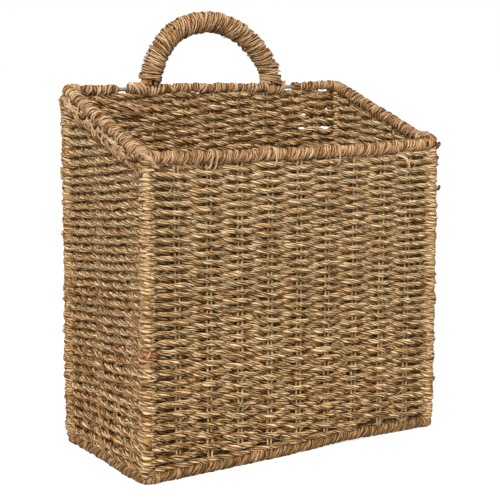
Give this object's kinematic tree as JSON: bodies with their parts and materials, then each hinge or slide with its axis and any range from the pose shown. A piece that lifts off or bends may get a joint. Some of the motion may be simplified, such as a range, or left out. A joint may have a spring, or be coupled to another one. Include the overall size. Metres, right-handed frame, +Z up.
{
  "type": "magazine basket",
  "caption": "Tall narrow woven seagrass basket with a rim that slopes up to the back, wound edges and an arched carrying handle, for magazines.",
  "frame": {"origin": "centre of the basket's footprint, on the surface that it stands on", "axes": "+Z up, the low front wall faces -Y, the back wall with the handle is on the +Y side, +X to the right as seen from the front"},
  "size_m": [0.3434, 0.173, 0.4319],
  "materials": {
    "seagrass_weave": "two-ply twisted seagrass rope, matte with a slight straw sheen",
    "seagrass_winding": "flat seagrass blades wound side by side, matte to satin",
    "seagrass_warp": "thin twisted seagrass strands, matte",
    "frame_wire": "dull grey steel wire"
  },
  "bodies": {
    "root": {"top_hoop": "frame_wire", "bottom_hoop": "frame_wire", "handle_wire": "frame_wire", "post_front_left": "frame_wire", "post_front_right": "frame_wire", "post_back_left": "frame_wire", "post_back_right": "frame_wire", "weave_front": "seagrass_weave", "weave_back": "seagrass_weave", "weave_left": "seagrass_weave", "weave_right": "seagrass_weave", "weave_floor": "seagrass_weave", "corner_wrap_front_left": "seagrass_weave", "corner_wrap_front_right": "seagrass_weave", "corner_wrap_back_left": "seagrass_weave", "corner_wrap_back_right": "seagrass_weave", "handle_core": "seagrass_weave", "rim_winding_front": "seagrass_winding", "rim_winding_left": "seagrass_winding", "rim_winding_right": "seagrass_winding", "rim_winding_back_left": "seagrass_winding", "rim_winding_back_middle": "seagrass_winding", "rim_winding_back_right": "seagrass_winding", "foot_winding_front": "seagrass_winding", "foot_winding_back": "seagrass_winding", "foot_winding_left": "seagrass_winding", "foot_winding_right": "seagrass_winding", "handle_winding": "seagrass_winding", "warp_front_1": "seagrass_warp", "warp_front_2": "seagrass_warp", "warp_front_3": "seagrass_warp", "warp_front_4": "seagrass_warp", "warp_front_5": "seagrass_warp", "warp_front_6": "seagrass_warp", "warp_front_7": "seagrass_warp", "warp_front_8": "seagrass_warp", "warp_front_9": "seagrass_warp", "warp_back_1": "seagrass_warp", "warp_back_2": "seagrass_warp", "warp_back_3": "seagrass_warp", "warp_back_4": "seagrass_warp", "warp_back_5": "seagrass_warp", "warp_back_6": "seagrass_warp", "warp_back_7": "seagrass_warp", "warp_back_8": "seagrass_warp", "warp_back_9": "seagrass_warp", "warp_left_1": "seagrass_warp", "warp_left_2": "seagrass_warp", "warp_left_3": "seagrass_warp", "warp_left_4": "seagrass_warp", "warp_right_1": "seagrass_warp", "warp_right_2": "seagrass_warp", "warp_right_3": "seagrass_warp", "warp_right_4": "seagrass_warp"}
  },
  "joints": []
}
